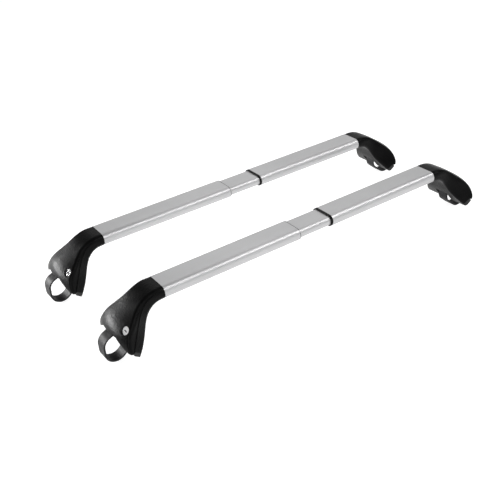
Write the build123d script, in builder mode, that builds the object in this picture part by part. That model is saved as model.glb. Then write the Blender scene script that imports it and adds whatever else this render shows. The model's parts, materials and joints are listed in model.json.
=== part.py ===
from build123d import *
from math import cos, radians, sin
from typing import NamedTuple
import os

# Pair of telescopic roof cross bars with strap feet for raised rails.
# X runs along the bars, Y from the front bar to the rear bar, Z up.
# The origin is on the ground, midway between the four feet.

# Beams, millimetres
bar_width = 70.0
bar_height = 28.8
bar_corner = 13.6
bar_spacing = 286.5
outer_wall = 2.6
inner_wall = 2.4
slide_gap = 0.4
left_tube_length = 359.0
right_tube_length = 335.7
exposed_length = 92.0
seal_length = 1.2
collar_length = 5.0
left_overlap = 150.0
right_overlap = 165.0
guide_flange = 6.0
guide_plug = 16.0
guide_wall = 4.0
running_gap = 0.3

# Screws of the beams
screw_radius = 3.0
screw_head_radius = 5.5
screw_head_height = 3.0
screw_length = 14.0
screw_play = 0.05
socket_radius = 2.2
socket_depth = 2.0
tube_screw_pitch = 60.0
foot_screw_pitch = 24.0
foot_screw_inset = 18.0
width_screw_inset = 16.0

# Foot mouldings
spigot_length = 56.0
spigot_play = 0.2
cover_wall = 3.0
ridge_step = 1.2
pad_thickness = 8.0
leg_gap = 40.0
gap_roof_inner = (50.0, -74.0)
gap_roof_outer = (135.0, -66.0)
lip_height = -57.0
lip_half = 28.0
skirt_half = 76.0
skirt_height = -87.0

# Strap with its pin and its tension bolt
strap_width = 28.0
strap_thickness = 4.0
strap_play = 0.4
nut_x = 98.9
nut_z = -49.4
exit_slope = -24.0
exit_run = 36.0
shoulder_radius = 24.0
drop_run = 15.0
loop_radius = 25.0
loop_turn = 130.0
return_run = 26.0
entry_radius = 22.0
entry_turn = 60.0
entry_run = 12.0
eye_wall = 3.0
fit_play = 0.05
pin_radius = 3.0
pin_length = 52.0
nut_radius = 5.5
nut_length = 36.0
bolt_radius = 3.0
bolt_length = 42.0
bolt_head_radius = 5.0
bolt_head_height = 6.0
bolt_socket_radius = 2.9
bolt_slot_width = 12.0
bolt_slot_length = 22.0

# Lock in the cover
lock_x = 104.0
lock_y = 42.0
lock_z = -41.0
lock_tilt = 49.0
lock_lean = 14.0
lock_proud = 0.6
lock_face_radius = 9.5
lock_face_height = 2.0
lock_barrel_radius = 7.0
lock_barrel_length = 11.0
lock_play = 0.06
lock_seat_gap = 0.3
lock_boss_wall = 2.5
keyway_width = 2.2
keyway_length = 9.0
keyway_depth = 1.4
cam_length = 10.0
cam_width = 6.0
cam_thickness = 2.5


class Station(NamedTuple):
    """One cross-section of the foot, square to its sweep, in the foot's own frame."""

    inner: tuple
    outer: tuple
    inner_half: float
    outer_half: float
    crown: float
    inner_round: float
    outer_round: float

    @property
    def rise(self):
        return Vector(self.outer[0] - self.inner[0], 0, self.outer[1] - self.inner[1])

    @property
    def plane(self):
        origin = (self.inner[0], 0, self.inner[1])
        return Plane(origin=origin, x_dir=(0, 1, 0), z_dir=Vector(0, 1, 0).cross(self.rise))


# The foot's own frame has X outward from the tube's end and Z up from the tube's axis
half_width = bar_width / 2
half_height = bar_height / 2
foot_stations = [
    Station((0, -half_height), (0, half_height), half_width, half_width, 0.1, bar_corner, bar_corner),
    Station((12, -half_height), (14, half_height), half_width, half_width, 0.1, 12, 12.5),
    Station((26, -half_height - 3), (37, half_height - 4), half_width, half_width, 0.6, 10, 11),
    Station((43, -31), (67, -4.5), half_width + 0.5, half_width + 3, 3, 8, 10),
    Station((56, -53), (93, -22), half_width + 5, half_width + 17, 8, 7, 9),
    Station((70, -75), (114, -38), half_width + 19, half_width + 26, 12, 7, 9),
    Station((82, -90), (125, -55), half_width + 28.5, half_width + 34.5, 16, 7, 10),
    Station((91.5, -100), (126, -72), half_width + 34, half_width + 37, 15, 7, 10),
]
ridge_points = [(-1, 9.5), (40, 2), (67, -24), (91, -60), (103, -80), (107, -106)]
foot_reach = 150.0
foot_drop = 150.0
foot_spread = 200.0


def tube_section(inset, start=0.0):
    """Flat-topped oval of the extrusions at X start, pulled in all round by inset."""
    with BuildSketch(Plane.YZ.offset(start)) as section:
        RectangleRounded(bar_width - 2 * inset, bar_height - 2 * inset, bar_corner - inset)
    return section.sketch


def foot_section(station, side_inset=0.0):
    """Trapezoid with round corners and a crowned outer edge, standing square to the foot's sweep."""
    inner_half = station.inner_half - side_inset
    outer_half = station.outer_half - side_inset
    top = station.rise.length
    shoulder = top - station.crown
    with BuildSketch(station.plane) as section:
        with BuildLine():
            Polyline((outer_half, shoulder), (inner_half, 0), (-inner_half, 0), (-outer_half, shoulder))
            ThreePointArc((-outer_half, shoulder), (0, top), (outer_half, shoulder))
        make_face()
        fillet(section.vertices().sort_by(Axis.Y)[:2], station.inner_round)
        fillet(section.vertices().sort_by(Axis.Y)[-2:], station.outer_round)
    return section.sketch


def hollow_section(station):
    """Plain section that stays a wall's thickness inside the cover's skin."""
    inset = ridge_step + cover_wall
    top = station.rise.length - cover_wall
    shoulder = top - station.crown
    with BuildSketch(station.plane) as section:
        with BuildLine():
            Polyline(
                (station.outer_half - inset, shoulder),
                (0, top),
                (inset - station.outer_half, shoulder),
                (inset - station.inner_half, 0),
                (station.inner_half - inset, 0),
                close=True,
            )
        make_face()
    return section.sketch


# Everything below the ridge line that parts the foot's body from its cover
with BuildPart() as under_ridge:
    with BuildSketch(Plane.XZ):
        with BuildLine():
            ridge = Spline(*ridge_points)
            Polyline(ridge @ 1, (foot_reach, -foot_drop), (-1, -foot_drop), ridge @ 0)
        make_face()
    extrude(amount=foot_spread / 2, both=True)

# Space between the two legs, where the strap hangs
with BuildPart() as leg_space:
    with BuildSketch(Plane.XZ):
        with BuildLine():
            Polyline(
                (gap_roof_inner[0], -foot_drop),
                gap_roof_inner,
                gap_roof_outer,
                (gap_roof_outer[0], -foot_drop),
                close=True,
            )
        make_face()
    extrude(amount=leg_gap / 2, both=True)

# Strap line, from the barrel nut out of the cover, round the loop and up between the legs
exit_direction = Vector(cos(radians(exit_slope)), sin(radians(exit_slope)))
with BuildLine() as strap_line:
    way_out = Line((nut_x, nut_z), Vector(nut_x, nut_z) + exit_direction * exit_run)
    shoulder_bend = JernArc(way_out @ 1, way_out % 1, shoulder_radius, -90 - exit_slope)
    drop = Line(shoulder_bend @ 1, shoulder_bend @ 1 - Vector(0, drop_run))
    loop = JernArc(drop @ 1, drop % 1, loop_radius, -loop_turn)
    way_back = Line(loop @ 1, loop @ 1 + (loop % 1) * return_run)
    entry_bend = JernArc(way_back @ 1, way_back % 1, entry_radius, -entry_turn)
    entry = Line(entry_bend @ 1, entry_bend @ 1 + (entry_bend % 1) * entry_run)
nut_place = (nut_x, nut_z)
pin_place = ((entry @ 1).X, (entry @ 1).Y)
bar_axis_height = loop_radius + strap_thickness / 2 - (drop @ 1).Y

# Planes of the pads' top face, the tension bolt and the lock, each with Z out of the foot
last_plane = foot_stations[-1].plane
pad_plane = last_plane.offset(-pad_thickness)
bolt_plane = Plane(
    origin=(nut_x, 0, nut_z),
    x_dir=(0, 1, 0),
    z_dir=(exit_direction.X, 0, exit_direction.Y),
)
lock_plane = Plane(
    origin=(lock_x, lock_y, lock_z),
    x_dir=(0, -cos(radians(lock_lean)), sin(radians(lock_lean))),
    z_dir=(
        sin(radians(lock_tilt)) * cos(radians(lock_lean)),
        sin(radians(lock_lean)),
        cos(radians(lock_tilt)) * cos(radians(lock_lean)),
    ),
)
lock_face_plane = lock_plane.offset(lock_proud)
lock_seat_plane = lock_face_plane.offset(-lock_face_height)
lock_back_plane = lock_seat_plane.offset(-lock_barrel_length)
foot_screw_places = [
    (-foot_screw_inset, 0, -half_height),
    (-foot_screw_inset - foot_screw_pitch, 0, -half_height),
]


def strap_profile(growth):
    """Side view of the strap with its two eyes, grown all round by growth."""
    with BuildSketch(Plane.XZ) as profile:
        trace(strap_line.line, strap_thickness + 2 * growth)
        with Locations(nut_place):
            Circle(nut_radius + eye_wall + growth)
        with Locations(pin_place):
            Circle(pin_radius + eye_wall + growth)
    return profile.sketch


# Foot below the ridge line, body and pads together
with BuildPart() as lower_foot:
    loft(sections=[foot_section(station) for station in foot_stations])
    add(under_ridge.part, mode=Mode.INTERSECT)
    add(leg_space.part, mode=Mode.SUBTRACT)

with BuildPart() as foot_body:
    add(lower_foot.part)
    split(bisect_by=pad_plane, keep=Keep.BOTTOM)
    extrude(tube_section(outer_wall + spigot_play), amount=-spigot_length)
    extrude(strap_profile(strap_play), amount=strap_width / 2 + strap_play, both=True, mode=Mode.SUBTRACT)
    with BuildSketch(Plane.XZ):
        with Locations(pin_place):
            Circle(pin_radius + fit_play)
    extrude(amount=pin_length / 2, both=True, mode=Mode.SUBTRACT)
    with BuildSketch(bolt_plane):
        Circle(bolt_radius + screw_play)
    extrude(amount=-bolt_length, mode=Mode.SUBTRACT)
    with Locations(*foot_screw_places):
        Cylinder(screw_radius + screw_play, 2 * screw_length, mode=Mode.SUBTRACT)

with BuildPart() as rail_pads:
    add(lower_foot.part)
    split(bisect_by=pad_plane, keep=Keep.TOP)

# Hollow behind the cover's skin
with BuildPart() as cover_hollow:
    loft(sections=[hollow_section(station) for station in foot_stations[3:]], ruled=True)

with BuildPart() as outer_cover:
    loft(
        sections=[foot_section(foot_stations[0])]
        + [foot_section(station, ridge_step) for station in foot_stations[1:]]
    )
    add(under_ridge.part, mode=Mode.SUBTRACT)
    add(cover_hollow.part, mode=Mode.SUBTRACT)
    with BuildSketch(Plane.YZ):
        with BuildLine():
            Polyline(
                (-lip_half, lip_height),
                (lip_half, lip_height),
                (skirt_half, skirt_height),
                (skirt_half, -foot_drop),
                (-skirt_half, -foot_drop),
                (-skirt_half, skirt_height),
                close=True,
            )
        make_face()
    extrude(amount=foot_reach, mode=Mode.SUBTRACT)
    with BuildSketch(lock_back_plane.offset(fit_play)):
        Circle(lock_face_radius + lock_boss_wall)
    extrude(amount=lock_barrel_length)
    with BuildSketch(lock_seat_plane.offset(-lock_seat_gap)):
        Circle(lock_face_radius + lock_play)
    extrude(amount=lock_face_radius, mode=Mode.SUBTRACT)
    with BuildSketch(lock_back_plane):
        Circle(lock_barrel_radius + lock_play)
    extrude(amount=lock_barrel_length, mode=Mode.SUBTRACT)

with BuildPart() as rail_strap:
    extrude(strap_profile(0), amount=strap_width / 2, both=True)
    with BuildSketch(Plane.XZ):
        with Locations(nut_place):
            Circle(nut_radius + fit_play)
        with Locations(pin_place):
            Circle(pin_radius + fit_play)
    extrude(amount=strap_width / 2, both=True, mode=Mode.SUBTRACT)
    with BuildSketch(bolt_plane):
        Rectangle(bolt_slot_width, 4 * nut_radius)
    extrude(amount=bolt_slot_length, both=True, mode=Mode.SUBTRACT)

with BuildPart() as strap_pin:
    with BuildSketch(Plane.XZ):
        with Locations(pin_place):
            Circle(pin_radius)
    extrude(amount=pin_length / 2, both=True)

with BuildPart() as barrel_nut:
    with BuildSketch(Plane.XZ):
        with Locations(nut_place):
            Circle(nut_radius)
    extrude(amount=nut_length / 2, both=True)
    with BuildSketch(bolt_plane):
        Circle(bolt_radius + fit_play)
    extrude(amount=2 * nut_radius, both=True, mode=Mode.SUBTRACT)

bolt_seat_plane = bolt_plane.offset(nut_radius + fit_play)
with BuildPart() as tension_bolt:
    with BuildSketch(bolt_seat_plane):
        Circle(bolt_head_radius)
    extrude(amount=bolt_head_height)
    with BuildSketch(bolt_seat_plane):
        Circle(bolt_radius)
    extrude(amount=-bolt_length)
    with BuildSketch(bolt_seat_plane.offset(bolt_head_height)):
        RegularPolygon(bolt_socket_radius, 6)
    extrude(amount=-bolt_head_height / 2, mode=Mode.SUBTRACT)

with BuildPart() as lock_cylinder:
    with BuildSketch(lock_seat_plane):
        Circle(lock_face_radius)
    extrude(amount=lock_face_height)
    with BuildSketch(lock_back_plane):
        Circle(lock_barrel_radius)
    extrude(amount=lock_barrel_length)
    with BuildSketch(lock_face_plane):
        SlotOverall(keyway_length, keyway_width)
    extrude(amount=-keyway_depth, mode=Mode.SUBTRACT)

with BuildPart() as lock_cam:
    with BuildSketch(lock_back_plane):
        SlotCenterPoint((cam_length / 2 - cam_width / 4, 0), (cam_length - cam_width / 2, 0), cam_width)
    extrude(amount=-cam_thickness)


def socket_screw(shank_length):
    """Screw that goes in upwards, with its head's seat at the origin and a hex socket below."""
    with BuildPart() as screw:
        Cylinder(screw_radius, shank_length, align=(Align.CENTER, Align.CENTER, Align.MIN))
        Cylinder(screw_head_radius, screw_head_height, align=(Align.CENTER, Align.CENTER, Align.MAX))
        with BuildSketch(Plane.XY.offset(-screw_head_height)):
            RegularPolygon(socket_radius, 6)
        extrude(amount=socket_depth, mode=Mode.SUBTRACT)
    return screw.part


with BuildPart() as foot_screws:
    with Locations(*foot_screw_places):
        add(socket_screw(screw_length))

# Beam, with the middle of its length at the origin
beam_length = left_tube_length + seal_length + exposed_length + collar_length + right_tube_length
left_end = -beam_length / 2
right_end = beam_length / 2
left_tube_end = left_end + left_tube_length
collar_start = left_tube_end + seal_length + exposed_length
right_tube_start = collar_start + collar_length
inner_start = left_tube_end - left_overlap
inner_end = right_tube_start + right_overlap
inner_inset = outer_wall + slide_gap
tube_screw_places = [
    (left_tube_end - left_overlap / 2 - tube_screw_pitch / 2, 0, -half_height),
    (left_tube_end - left_overlap / 2 + tube_screw_pitch / 2, 0, -half_height),
]
width_screw_place = (right_tube_start + width_screw_inset, 0, -half_height)


def hollow_length(start, length, outside, inside, drilled=()):
    """Stretch of hollow section along X, drilled from below where its screws go in."""
    with BuildPart() as hollow:
        extrude(tube_section(outside, start), amount=length)
        extrude(tube_section(inside, start), amount=length, mode=Mode.SUBTRACT)
        for place in drilled:
            with Locations(place):
                Cylinder(screw_radius + screw_play, screw_length, mode=Mode.SUBTRACT)
    return hollow


left_outer_tube = hollow_length(
    left_end,
    left_tube_length,
    0,
    outer_wall,
    tube_screw_places + [(left_end - place[0], 0, place[2]) for place in foot_screw_places],
)
right_outer_tube = hollow_length(
    right_tube_start,
    right_tube_length,
    0,
    outer_wall,
    [width_screw_place] + [(right_end + place[0], 0, place[2]) for place in foot_screw_places],
)
inner_tube = hollow_length(
    inner_start,
    inner_end - inner_start,
    inner_inset,
    inner_inset + inner_wall,
    tube_screw_places,
)
tube_seal = hollow_length(left_tube_end, seal_length, 0, inner_inset)
slide_collar = hollow_length(collar_start, collar_length, 0, inner_inset - running_gap)

with BuildPart() as slide_guide:
    extrude(tube_section(outer_wall + running_gap, inner_end), amount=guide_flange)
    extrude(tube_section(inner_inset + inner_wall + fit_play, inner_end), amount=-guide_plug)
    extrude(
        tube_section(inner_inset + inner_wall + guide_wall, inner_end - guide_plug),
        amount=guide_plug + guide_flange,
        mode=Mode.SUBTRACT,
    )

with BuildPart() as inner_tube_screws:
    with Locations(*tube_screw_places):
        add(socket_screw(screw_length))

with BuildPart() as width_screw:
    with Locations(width_screw_place):
        add(socket_screw(inner_inset - running_gap))

beam_pieces = {
    "left_outer_tube": left_outer_tube,
    "right_outer_tube": right_outer_tube,
    "inner_tube": inner_tube,
    "tube_seal": tube_seal,
    "slide_collar": slide_collar,
    "slide_guide": slide_guide,
    "inner_tube_screws": inner_tube_screws,
    "width_screw": width_screw,
}
foot_pieces = {
    "foot_body": foot_body,
    "rail_pads": rail_pads,
    "outer_cover": outer_cover,
    "rail_strap": rail_strap,
    "strap_pin": strap_pin,
    "barrel_nut": barrel_nut,
    "tension_bolt": tension_bolt,
    "lock_cylinder": lock_cylinder,
    "lock_cam": lock_cam,
    "foot_screws": foot_screws,
}
bar_places = {"front": -bar_spacing / 2, "rear": bar_spacing / 2}
foot_places = {"left": (left_end, 180), "right": (right_end, 0)}


def write_piece(piece, name, location):
    """Put a finished piece in its place on the pair of bars and write it out."""
    with BuildPart() as placed:
        with Locations(location):
            add(piece.part)
    placed.part.label = name
    export_step(placed.part, f"parts/{name}.step")


os.makedirs("parts", exist_ok=True)
for bar_name, bar_y in bar_places.items():
    for piece_name, piece in beam_pieces.items():
        write_piece(piece, f"{bar_name}_{piece_name}", Location((0, bar_y, bar_axis_height)))
    for side_name, (foot_x, foot_turn) in foot_places.items():
        foot_location = Location((foot_x, bar_y, bar_axis_height), (0, 0, foot_turn))
        for piece_name, piece in foot_pieces.items():
            write_piece(piece, f"{bar_name}_{side_name}_{piece_name}", foot_location)
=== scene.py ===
import bmesh
import bpy
import json
from math import asin, copysign, cos, pi, radians, sin
from mathutils import Matrix, Quaternion, Vector


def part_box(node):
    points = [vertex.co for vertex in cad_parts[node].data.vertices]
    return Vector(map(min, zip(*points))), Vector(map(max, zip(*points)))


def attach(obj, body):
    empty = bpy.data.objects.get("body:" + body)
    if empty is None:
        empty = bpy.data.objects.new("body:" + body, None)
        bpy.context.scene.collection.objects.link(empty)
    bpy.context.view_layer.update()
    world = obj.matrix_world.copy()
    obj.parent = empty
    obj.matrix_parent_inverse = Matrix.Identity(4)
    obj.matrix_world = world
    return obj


# Looks of the pair of telescopic roof cross bars. Metres, X along the bars, Z up.

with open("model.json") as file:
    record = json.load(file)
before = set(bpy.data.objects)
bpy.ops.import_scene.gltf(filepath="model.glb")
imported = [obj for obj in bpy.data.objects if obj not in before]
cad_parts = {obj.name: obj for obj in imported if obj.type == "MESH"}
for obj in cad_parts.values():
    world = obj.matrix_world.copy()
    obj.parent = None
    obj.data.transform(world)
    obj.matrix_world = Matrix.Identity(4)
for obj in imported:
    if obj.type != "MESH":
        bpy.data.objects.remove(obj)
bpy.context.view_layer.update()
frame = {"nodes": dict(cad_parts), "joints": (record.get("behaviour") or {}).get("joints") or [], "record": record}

# Camera that the bars are seen by, with its height above the bars' axis
camera_place = Vector((-0.98441, -1.42514, 0.925532))
camera_azimuth = -32.8759
camera_elevation = 31.3922
camera_roll = -4.4066
camera_lens = 56.85
sensor_width = 36.0

# Studio
floor_half = 14.0
floor_drop = 0.0004
floor_grey = 0.4
floor_roughness = 0.9
floor_glow = 0.86
target = Vector((0.0, 0.0, 0.08))
dome_low = 0.02
dome_high = 0.12
dome_grey = 0.07

# Painted shade: a dark plate in each key slot stands in for the shade inside the keyway
keyway_shade_length = 0.0084
keyway_shade_width = 0.0016
keyway_shade_thickness = 0.0003
keyway_shade_depth = 0.0003
keyway_shade_round_steps = 8

# Stretch of a noise pattern that counts, and the rounding of moulded edges
pattern_low = 0.3
pattern_high = 0.7
edge_radius = 0.0016
edge_samples = 6


def start_material(name):
    """Empty node material with its shader."""
    material = bpy.data.materials.new(name)
    material.use_nodes = True
    return material, material.node_tree.nodes["Principled BSDF"]


def pattern(material, scale, stretch=(1.0, 1.0, 1.0), detail=2.0):
    """Noise fixed to the piece, with the given number of lumps to the metre."""
    nodes = material.node_tree.nodes
    links = material.node_tree.links
    coordinates = nodes.new("ShaderNodeTexCoord")
    mapping = nodes.new("ShaderNodeMapping")
    mapping.inputs["Scale"].default_value = stretch
    noise = nodes.new("ShaderNodeTexNoise")
    noise.inputs["Scale"].default_value = scale
    noise.inputs["Detail"].default_value = detail
    links.new(coordinates.outputs["Object"], mapping.inputs["Vector"])
    links.new(mapping.outputs["Vector"], noise.inputs["Vector"])
    return noise.outputs["Fac"]


def cells(material, scale):
    """Pebbled grain of a moulded surface."""
    nodes = material.node_tree.nodes
    links = material.node_tree.links
    coordinates = nodes.new("ShaderNodeTexCoord")
    voronoi = nodes.new("ShaderNodeTexVoronoi")
    voronoi.feature = "SMOOTH_F1"
    voronoi.inputs["Scale"].default_value = scale
    links.new(coordinates.outputs["Object"], voronoi.inputs["Vector"])
    return voronoi.outputs["Distance"]


def vary(material, source, socket, low, high):
    """Let a pattern move a shader value between low and high."""
    nodes = material.node_tree.nodes
    links = material.node_tree.links
    spread = nodes.new("ShaderNodeMapRange")
    spread.inputs["From Min"].default_value = pattern_low
    spread.inputs["From Max"].default_value = pattern_high
    spread.inputs["To Min"].default_value = low
    spread.inputs["To Max"].default_value = high
    links.new(source, spread.inputs["Value"])
    links.new(spread.outputs["Result"], socket)


def tint(material, source, socket, dark, light):
    """Let a pattern move a colour between two greys."""
    nodes = material.node_tree.nodes
    links = material.node_tree.links
    ramp = nodes.new("ShaderNodeValToRGB")
    ramp.color_ramp.elements[0].position = pattern_low
    ramp.color_ramp.elements[0].color = (*dark, 1.0)
    ramp.color_ramp.elements[1].position = pattern_high
    ramp.color_ramp.elements[1].color = (*light, 1.0)
    links.new(source, ramp.inputs["Fac"])
    links.new(ramp.outputs["Color"], socket)


def relief(material, heights, socket, edge=0.0):
    """Stack of bumps, each a pattern with its depth in metres, over edges of the given radius."""
    nodes = material.node_tree.nodes
    links = material.node_tree.links
    before = None
    if edge:
        rounding = nodes.new("ShaderNodeBevel")
        rounding.samples = edge_samples
        rounding.inputs["Radius"].default_value = edge
        before = rounding.outputs["Normal"]
    for source, depth in heights:
        bump = nodes.new("ShaderNodeBump")
        bump.inputs["Strength"].default_value = 1.0
        bump.inputs["Distance"].default_value = depth
        links.new(source, bump.inputs["Height"])
        if before is not None:
            links.new(before, bump.inputs["Normal"])
        before = bump.outputs["Normal"]
    links.new(before, socket)


def anodised_aluminium():
    """Satin extrusion with faint drawn lines along its length."""
    material, shader = start_material("anodised_aluminium")
    drawn_lines = pattern(material, 1.0, (4.0, 1400.0, 1400.0), 3.0)
    etch = pattern(material, 2600.0)
    patches = pattern(material, 9.0)
    shader.inputs["Metallic"].default_value = 1.0
    tint(material, patches, shader.inputs["Base Color"], (0.50, 0.50, 0.505), (0.53, 0.53, 0.535))
    vary(material, drawn_lines, shader.inputs["Roughness"], 0.40, 0.47)
    relief(material, [(drawn_lines, 0.000004), (etch, 0.000006)], shader.inputs["Normal"])
    return material


def black_plastic():
    """Moulded nylon with a fine pebbled grain."""
    material, shader = start_material("black_plastic")
    pebbles = cells(material, 320.0)
    grain = cells(material, 900.0)
    flow = pattern(material, 40.0)
    shader.inputs["Specular IOR Level"].default_value = 0.08
    tint(material, flow, shader.inputs["Base Color"], (0.0014, 0.0014, 0.0015), (0.0022, 0.0022, 0.0023))
    vary(material, flow, shader.inputs["Roughness"], 0.32, 0.38)
    relief(material, [(pebbles, 0.0004), (grain, 0.00007)], shader.inputs["Normal"], edge_radius)
    return material


def black_rubber():
    """Matt rubber of the pads and the seal."""
    material, shader = start_material("black_rubber")
    skin = pattern(material, 1300.0)
    bloom = pattern(material, 55.0)
    tint(material, bloom, shader.inputs["Base Color"], (0.006, 0.006, 0.006), (0.010, 0.010, 0.010))
    vary(material, bloom, shader.inputs["Roughness"], 0.62, 0.74)
    relief(material, [(skin, 0.00004)], shader.inputs["Normal"])
    return material


def strap_rubber():
    """Reinforced strap with grain lines across its width."""
    material, shader = start_material("strap_rubber")
    cross_grain = pattern(material, 1.0, (900.0, 90.0, 900.0), 3.0)
    skin = pattern(material, 1500.0)
    tint(material, cross_grain, shader.inputs["Base Color"], (0.005, 0.005, 0.0055), (0.016, 0.016, 0.017))
    shader.inputs["Specular IOR Level"].default_value = 0.2
    vary(material, cross_grain, shader.inputs["Roughness"], 0.45, 0.62)
    relief(material, [(cross_grain, 0.00016), (skin, 0.00004)], shader.inputs["Normal"])
    return material


def zinc_steel():
    """Zinc plated fasteners."""
    material, shader = start_material("zinc_steel")
    plating = pattern(material, 700.0)
    shader.inputs["Metallic"].default_value = 1.0
    tint(material, plating, shader.inputs["Base Color"], (0.52, 0.53, 0.52), (0.64, 0.65, 0.64))
    vary(material, plating, shader.inputs["Roughness"], 0.28, 0.42)
    relief(material, [(plating, 0.00001)], shader.inputs["Normal"])
    return material


def lock_nickel():
    """Bright plated face of the locks."""
    material, shader = start_material("lock_nickel")
    polish = pattern(material, 1800.0)
    shader.inputs["Metallic"].default_value = 1.0
    tint(material, polish, shader.inputs["Base Color"], (0.84, 0.84, 0.84), (0.90, 0.90, 0.90))
    vary(material, polish, shader.inputs["Roughness"], 0.09, 0.13)
    relief(material, [(polish, 0.000004)], shader.inputs["Normal"])
    return material


def painted_keyway_shade():
    """Dark metal that paints the shade inside the key slots."""
    material, shader = start_material("painted_keyway_shade")
    scale = pattern(material, 1600.0)
    shader.inputs["Metallic"].default_value = 1.0
    tint(material, scale, shader.inputs["Base Color"], (0.020, 0.020, 0.022), (0.034, 0.034, 0.036))
    vary(material, scale, shader.inputs["Roughness"], 0.45, 0.60)
    relief(material, [(scale, 0.00001)], shader.inputs["Normal"])
    return material


finishes = {
    "anodised_aluminium": anodised_aluminium(),
    "black_plastic": black_plastic(),
    "black_rubber": black_rubber(),
    "strap_rubber": strap_rubber(),
    "zinc_steel": zinc_steel(),
    "lock_nickel": lock_nickel(),
}
slot_of = {row["node"]: row["material_slot"] for row in frame["record"]["subparts"]}
for node_name, node in frame["nodes"].items():
    node.data.materials.clear()
    node.data.materials.append(finishes[slot_of[node_name]])


def slot_outline(length, width):
    """Points round a slot with half-round ends."""
    radius = width / 2
    reach = length / 2 - radius
    points = []
    for side in (1, -1):
        for step in range(keyway_shade_round_steps + 1):
            turn = step * pi / keyway_shade_round_steps - pi / 2
            points.append((side * (reach + radius * cos(turn)), side * radius * sin(turn)))
    return points


def plate(name, outline, thickness, material):
    """Flat plate with its top face at local Z zero."""
    mesh = bpy.data.meshes.new(name)
    shape = bmesh.new()
    face = shape.faces.new([shape.verts.new((x, y, 0.0)) for x, y in outline])
    solid = bmesh.ops.extrude_face_region(shape, geom=[face])
    lowered = [item for item in solid["geom"] if isinstance(item, bmesh.types.BMVert)]
    bmesh.ops.translate(shape, vec=(0.0, 0.0, -thickness), verts=lowered)
    bmesh.ops.recalc_face_normals(shape, faces=shape.faces[:])
    shape.to_mesh(mesh)
    shape.free()
    mesh.materials.append(material)
    piece = bpy.data.objects.new(name, mesh)
    bpy.context.scene.collection.objects.link(piece)
    return piece


# A dark plate just under each lock's face paints the shade in the keyway
keyway_shade_finish = painted_keyway_shade()
keyway_shade_outline = slot_outline(keyway_shade_length, keyway_shade_width)
for joint in frame["joints"]:
    if joint["type"] != "hinge":
        continue
    axis = Vector(joint["axis"]).normalized()
    lean = asin(abs(axis.y))
    across = Vector((0.0, -copysign(cos(lean), axis.x), sin(lean)))
    across = (across - axis * across.dot(axis)).normalized()
    keyway_shade = plate(f"{joint['child']}_shutter", keyway_shade_outline, keyway_shade_thickness, keyway_shade_finish)
    facing = Matrix((across, axis.cross(across), axis)).transposed()
    seat = Vector(joint["pos_m"]) - axis * keyway_shade_depth
    keyway_shade.matrix_world = Matrix.Translation(seat) @ facing.to_4x4()
    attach(keyway_shade, joint["child"])


# Floor
floor_material, floor_shader = start_material("studio_floor")
floor_shader.inputs["Base Color"].default_value = (floor_grey, floor_grey, floor_grey, 1.0)
floor_shader.inputs["Roughness"].default_value = floor_roughness
floor_shader.inputs["Emission Color"].default_value = (1.0, 1.0, 1.0, 1.0)
floor_shader.inputs["Emission Strength"].default_value = floor_glow
floor_mesh = bpy.data.meshes.new("studio_floor")
floor_signs = ((-1, -1), (1, -1), (1, 1), (-1, 1))
floor_corners = [(x * floor_half, y * floor_half, -floor_drop) for x, y in floor_signs]
floor_mesh.from_pydata(floor_corners, [], [(0, 1, 2, 3)])
floor_mesh.materials.append(floor_material)
floor = bpy.data.objects.new("studio_floor", floor_mesh)
bpy.context.scene.collection.objects.link(floor)


def softbox(name, place, width, height, power):
    """Area light that looks at the bars, with its power in watts."""
    data = bpy.data.lights.new(name, "AREA")
    data.shape = "RECTANGLE"
    data.size = width
    data.size_y = height
    data.energy = power
    light = bpy.data.objects.new(name, data)
    light.location = place
    light.rotation_mode = "QUATERNION"
    light.rotation_quaternion = (target - Vector(place)).to_track_quat("-Z", "Y")
    light.visible_camera = False
    bpy.context.scene.collection.objects.link(light)


softbox("front_strip", (0.6, -1.3, 1.8), 3.4, 0.4, 27.0)
softbox("front_wall", (1.1, -2.0, 0.85), 3.6, 1.0, 9.5)
softbox("overhead_sheet", (0.95, 0.35, 2.0), 3.2, 1.3, 11.5)
softbox("back_left_box", (-1.76, 1.59, 0.54), 1.5, 0.48, 92.0)
softbox("camera_side_box", (-1.45, -1.70, 0.85), 0.6, 0.5, 9.0)
softbox("lock_box", (-2.05, 0.43, 1.2), 0.8, 0.8, 1.2)
softbox("back_right_wall", (1.6, 2.3, 1.6), 3.8, 1.7, 19.0)

# Dome, white at the horizon and dim overhead
world = bpy.data.worlds.new("studio_dome")
world.use_nodes = True
bpy.context.scene.world = world
dome_nodes = world.node_tree.nodes
dome_links = world.node_tree.links
direction = dome_nodes.new("ShaderNodeTexCoord")
direction_parts = dome_nodes.new("ShaderNodeSeparateXYZ")
dome_ramp = dome_nodes.new("ShaderNodeValToRGB")
dome_ramp.color_ramp.elements[0].position = dome_low
dome_ramp.color_ramp.elements[0].color = (1.0, 1.0, 1.0, 1.0)
dome_ramp.color_ramp.elements[1].position = dome_high
dome_ramp.color_ramp.elements[1].color = (dome_grey, dome_grey, dome_grey, 1.0)
dome_links.new(direction.outputs["Generated"], direction_parts.inputs["Vector"])
dome_links.new(direction_parts.outputs["Z"], dome_ramp.inputs["Fac"])
dome_links.new(dome_ramp.outputs["Color"], dome_nodes["Background"].inputs["Color"])

bpy.context.scene.view_settings.view_transform = "Standard"

# Camera
camera_data = bpy.data.cameras.new("camera")
camera_data.sensor_width = sensor_width
camera_data.lens = camera_lens
camera = bpy.data.objects.new("camera", camera_data)
azimuth = radians(camera_azimuth)
elevation = radians(camera_elevation)
back = Vector((sin(azimuth) * cos(elevation), -cos(azimuth) * cos(elevation), sin(elevation)))
camera.rotation_mode = "QUATERNION"
roll = Quaternion((0.0, 0.0, 1.0), radians(camera_roll))
camera.rotation_quaternion = (-back).to_track_quat("-Z", "Y") @ roll
tube_low, tube_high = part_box("front_left_outer_tube")
axis_height = (tube_low.z + tube_high.z) / 2
camera.location = camera_place + Vector((0.0, 0.0, axis_height))
bpy.context.scene.collection.objects.link(camera)
bpy.context.scene.camera = camera
